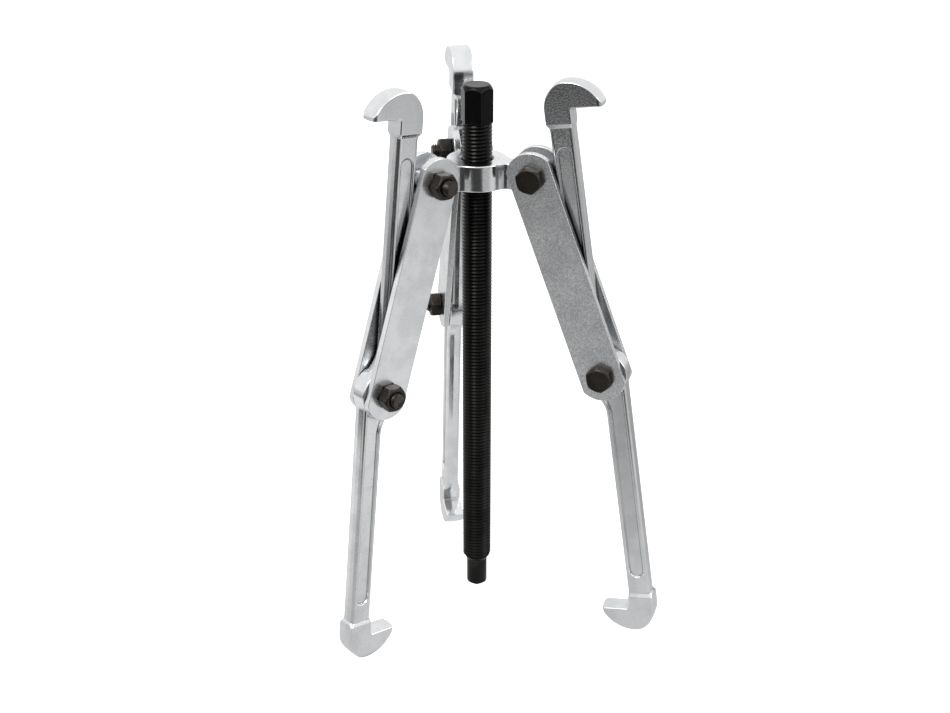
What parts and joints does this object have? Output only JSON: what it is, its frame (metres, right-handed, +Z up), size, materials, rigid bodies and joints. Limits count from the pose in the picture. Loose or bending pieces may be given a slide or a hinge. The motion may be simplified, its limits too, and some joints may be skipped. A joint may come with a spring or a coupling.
{
  "type": "gear puller",
  "caption": "Reversible gear puller: a threaded forcing screw through a lugged yoke, with double-ended hooked jaws hung from bolted link plates.",
  "frame": {"origin": "on the forcing screw's axis, where the pressure point's cylinder meets its cone", "axes": "+Z up along the forcing screw towards its hexagon, +Y towards the back arm, +X to the right; the three arms lie at 90, 210 and 330 degrees from +X"},
  "size_m": [0.2284, 0.2032, 0.398],
  "materials": {
    "zinc_plate": "bright zinc plating over forged and sheared steel, satin to semi-gloss, faintly mottled",
    "black_screw": "black oxide, oiled semi-gloss",
    "black_point": "black oxide over a turned surface, dark olive grey",
    "spring_wire": "plain spring steel",
    "dark_fastener": "brown-black phosphate, matt to satin"
  },
  "bodies": {
    "yoke": {"yoke": "zinc_plate"},
    "point": {"pressure_point": "black_point", "point_snap_ring": "spring_wire"},
    "screw": {"forcing_screw": "black_screw"},
    "back_links": {"back_link_head_side": "zinc_plate", "back_link_nut_side": "zinc_plate", "back_upper_bolt": "dark_fastener", "back_upper_nut": "dark_fastener", "back_lower_bolt": "dark_fastener", "back_lower_nut": "dark_fastener"},
    "back_jaw": {"back_jaw": "zinc_plate"},
    "left_links": {"left_link_head_side": "zinc_plate", "left_link_nut_side": "zinc_plate", "left_upper_bolt": "dark_fastener", "left_upper_nut": "dark_fastener", "left_lower_bolt": "dark_fastener", "left_lower_nut": "dark_fastener"},
    "left_jaw": {"left_jaw": "zinc_plate"},
    "right_links": {"right_link_head_side": "zinc_plate", "right_link_nut_side": "zinc_plate", "right_upper_bolt": "dark_fastener", "right_upper_nut": "dark_fastener", "right_lower_bolt": "dark_fastener", "right_lower_nut": "dark_fastener"},
    "right_jaw": {"right_jaw": "zinc_plate"}
  },
  "joints": [
    {"name": "screw_travel", "type": "slide", "parent": "yoke", "child": "point", "axis": [0, 0, 1], "range_m": [-0.0225, 0.24]},
    {"name": "screw_turn", "type": "hinge", "parent": "point", "child": "screw", "pos_m": [0, 0, 0.03], "axis": [0, 0, 1], "range_deg": [-3241, 34561]},
    {"name": "back_link_swing", "type": "hinge", "parent": "yoke", "child": "back_links", "pos_m": [0, 0.04, 0.317], "axis": [1, 0, 0], "range_deg": [-14.5, 36.5]},
    {"name": "back_jaw_swing", "type": "hinge", "parent": "back_links", "child": "back_jaw", "pos_m": [0, 0.08926, 0.18382], "axis": [-1, 0, 0], "range_deg": [-1.5, 25]},
    {"name": "left_link_swing", "type": "hinge", "parent": "yoke", "child": "left_links", "pos_m": [-0.03464, -0.02, 0.317], "axis": [-0.5, 0.866, 0], "range_deg": [-12.5, 38.5]},
    {"name": "left_jaw_swing", "type": "hinge", "parent": "left_links", "child": "left_jaw", "pos_m": [-0.07346, -0.04241, 0.18226], "axis": [0.5, -0.866, 0], "range_deg": [-1, 22]},
    {"name": "right_link_swing", "type": "hinge", "parent": "yoke", "child": "right_links", "pos_m": [0.03464, -0.02, 0.317], "axis": [-0.5, -0.866, 0], "range_deg": [-15, 36]},
    {"name": "right_jaw_swing", "type": "hinge", "parent": "right_links", "child": "right_jaw", "pos_m": [0.07851, -0.04533, 0.18434], "axis": [0.5, 0.866, 0], "range_deg": [-1, 26]}
  ],
  "couplings": [
    {"joint": "screw_turn", "follows": "screw_travel", "rad_per_m": 2513.3}
  ]
}
